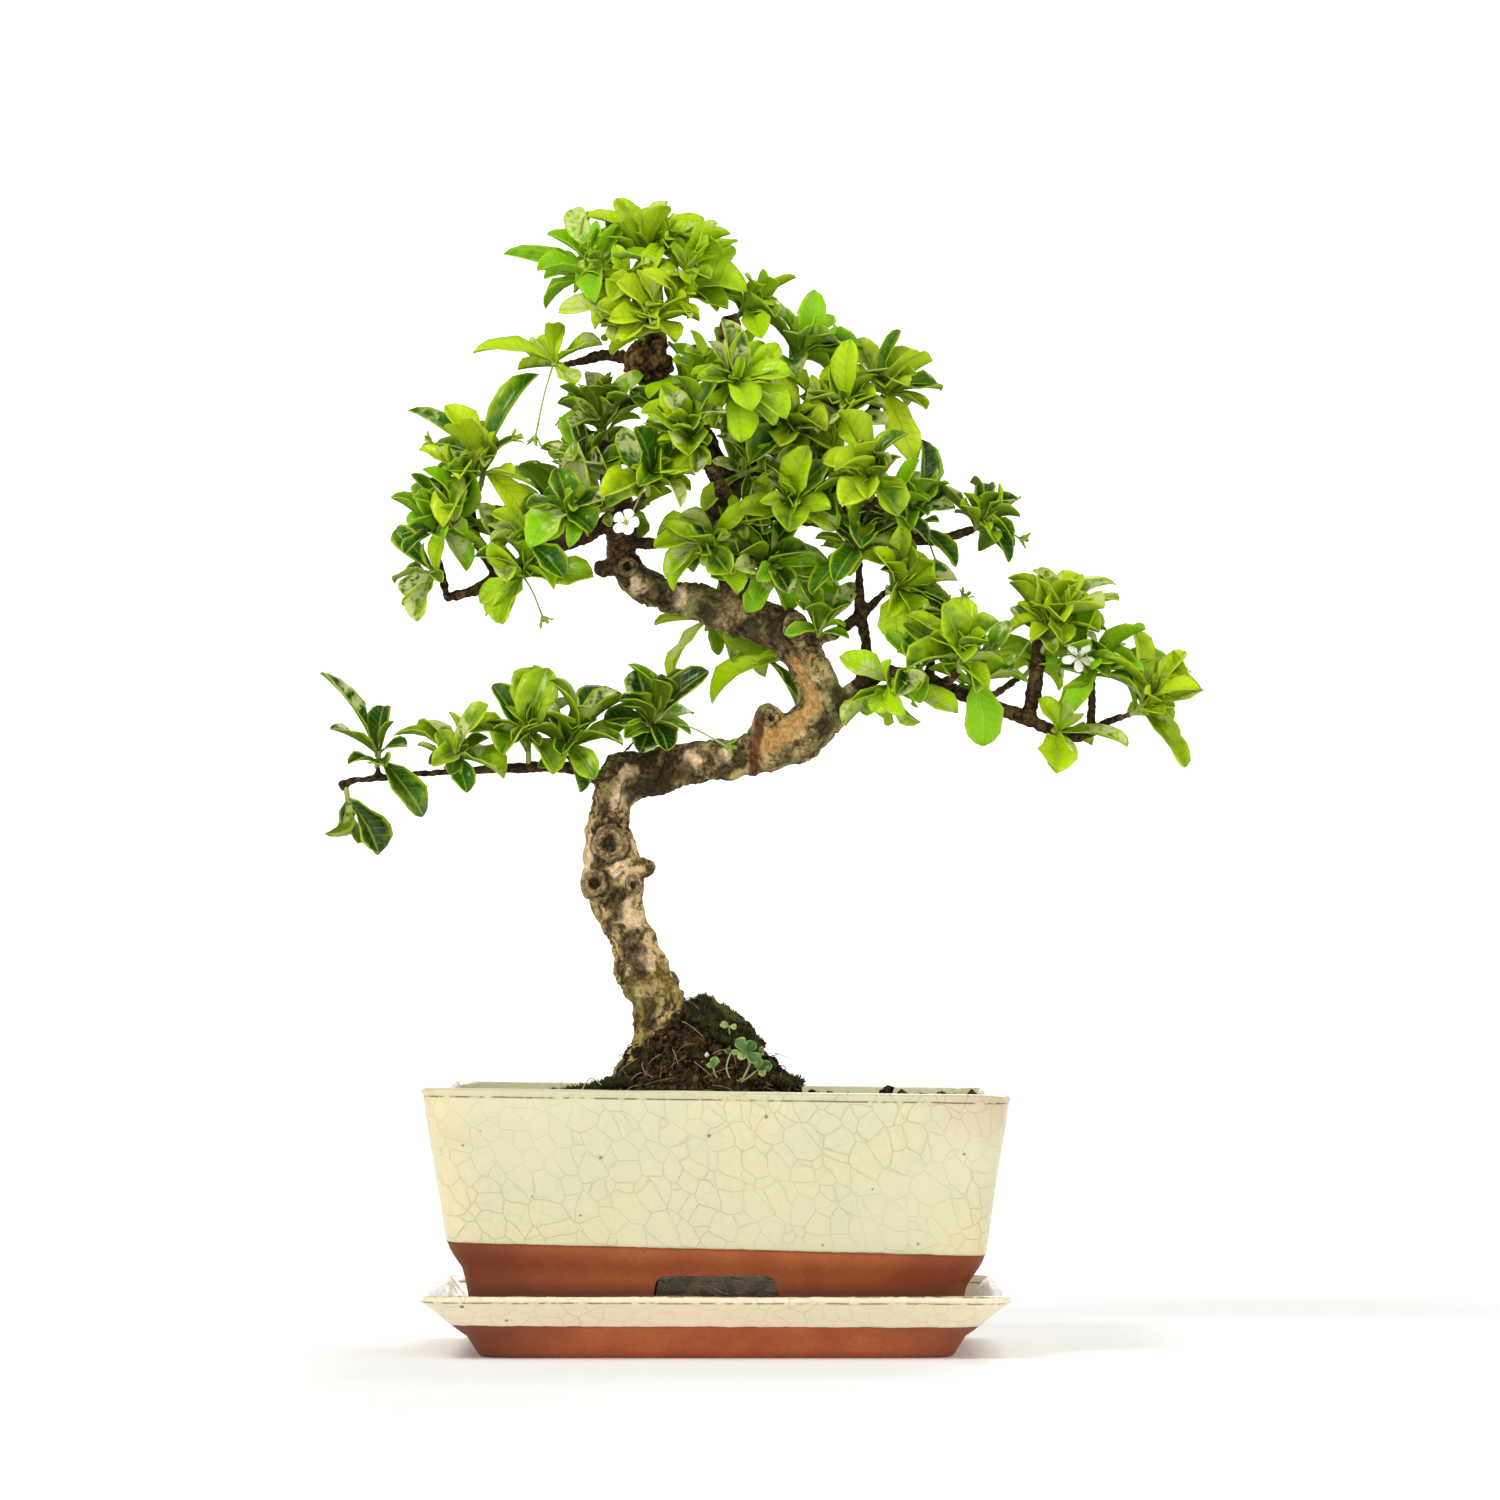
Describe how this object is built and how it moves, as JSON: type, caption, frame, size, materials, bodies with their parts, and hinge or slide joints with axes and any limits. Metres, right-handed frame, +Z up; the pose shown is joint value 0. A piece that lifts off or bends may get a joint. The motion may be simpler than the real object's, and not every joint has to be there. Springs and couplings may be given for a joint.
{
  "type": "fukien tea bonsai in a pot on a saucer",
  "caption": "Fukien tea bonsai with an S-curved trunk and leafy shoots, in a cream crackle-glazed rectangular pot with an unglazed foot, standing in its flared saucer.",
  "frame": {"origin": "middle of the flat underside of the saucer, on the surface it stands on", "axes": "+Z up, +X to the right along the pot's long side, -Y towards the front of the pot"},
  "size_m": [0.3084, 0.148, 0.4041],
  "materials": {
    "saucer_glaze": "gloss",
    "pot_glaze": "gloss",
    "screen_net": "matte",
    "soil": "matte",
    "moss": "matte",
    "seedling": "satin",
    "bark": "matte",
    "petal": "matte",
    "leaf_bright": "satin",
    "leaf_mid": "satin",
    "leaf_dark": "gloss",
    "leaf_young": "satin"
  },
  "bodies": {
    "root": {"saucer": "saucer_glaze", "pot": "pot_glaze", "screen_left": "screen_net", "screen_right": "screen_net", "soil": "soil", "moss": "moss", "seedling": "seedling", "tree": "bark", "bloom_left": "petal", "bloom_right": "petal", "shoot_apex_top": "leaf_bright", "shoot_apex_right": "leaf_mid", "shoot_apex_left": "leaf_dark", "shoot_apex_front": "leaf_young", "shoot_apex_low": "leaf_bright", "shoot_top_right": "leaf_mid", "shoot_top_right_out": "leaf_dark", "shoot_upper_right_tip": "leaf_young", "shoot_upper_right_front": "leaf_bright", "shoot_right_mid_tip": "leaf_mid", "shoot_right_mid_in": "leaf_dark", "shoot_right_mid_front": "leaf_young", "shoot_crown_front": "leaf_bright", "shoot_crown_front_up": "leaf_mid", "shoot_leader_tip": "leaf_dark", "shoot_leader_front": "leaf_young", "shoot_leader_back": "leaf_bright", "shoot_crown_back": "leaf_mid", "shoot_crown_back_up": "leaf_dark", "shoot_crown_mid": "leaf_young", "shoot_crown_mid_low": "leaf_bright", "shoot_crown_face": "leaf_mid", "shoot_crown_low": "leaf_dark", "shoot_red_twig_top": "leaf_young", "shoot_red_twig_right": "leaf_bright", "shoot_stub_shoot": "leaf_mid", "shoot_low_right_mid": "leaf_dark", "shoot_low_right_spur": "leaf_young", "shoot_low_right_front": "leaf_bright", "shoot_low_right_back": "leaf_mid", "shoot_low_right_upright": "leaf_dark", "shoot_low_right_tip": "leaf_young", "shoot_low_right_hang": "leaf_bright", "shoot_low_right_under": "leaf_mid", "shoot_upper_left_tip": "leaf_dark", "shoot_upper_left_twig": "leaf_young", "shoot_upper_left_hang": "leaf_bright", "shoot_upper_left_spur": "leaf_mid", "shoot_upper_left_front": "leaf_dark", "shoot_upper_left_back": "leaf_young", "shoot_upper_left_mid": "leaf_bright", "shoot_low_left_tip": "leaf_mid", "shoot_low_left_drop": "leaf_dark", "shoot_low_left_mid": "leaf_young", "shoot_low_left_fan": "leaf_bright", "shoot_low_left_inner": "leaf_mid", "shoot_rosette": "leaf_dark", "shoot_under_left": "leaf_young", "shoot_under_right": "leaf_bright"}
  },
  "joints": []
}
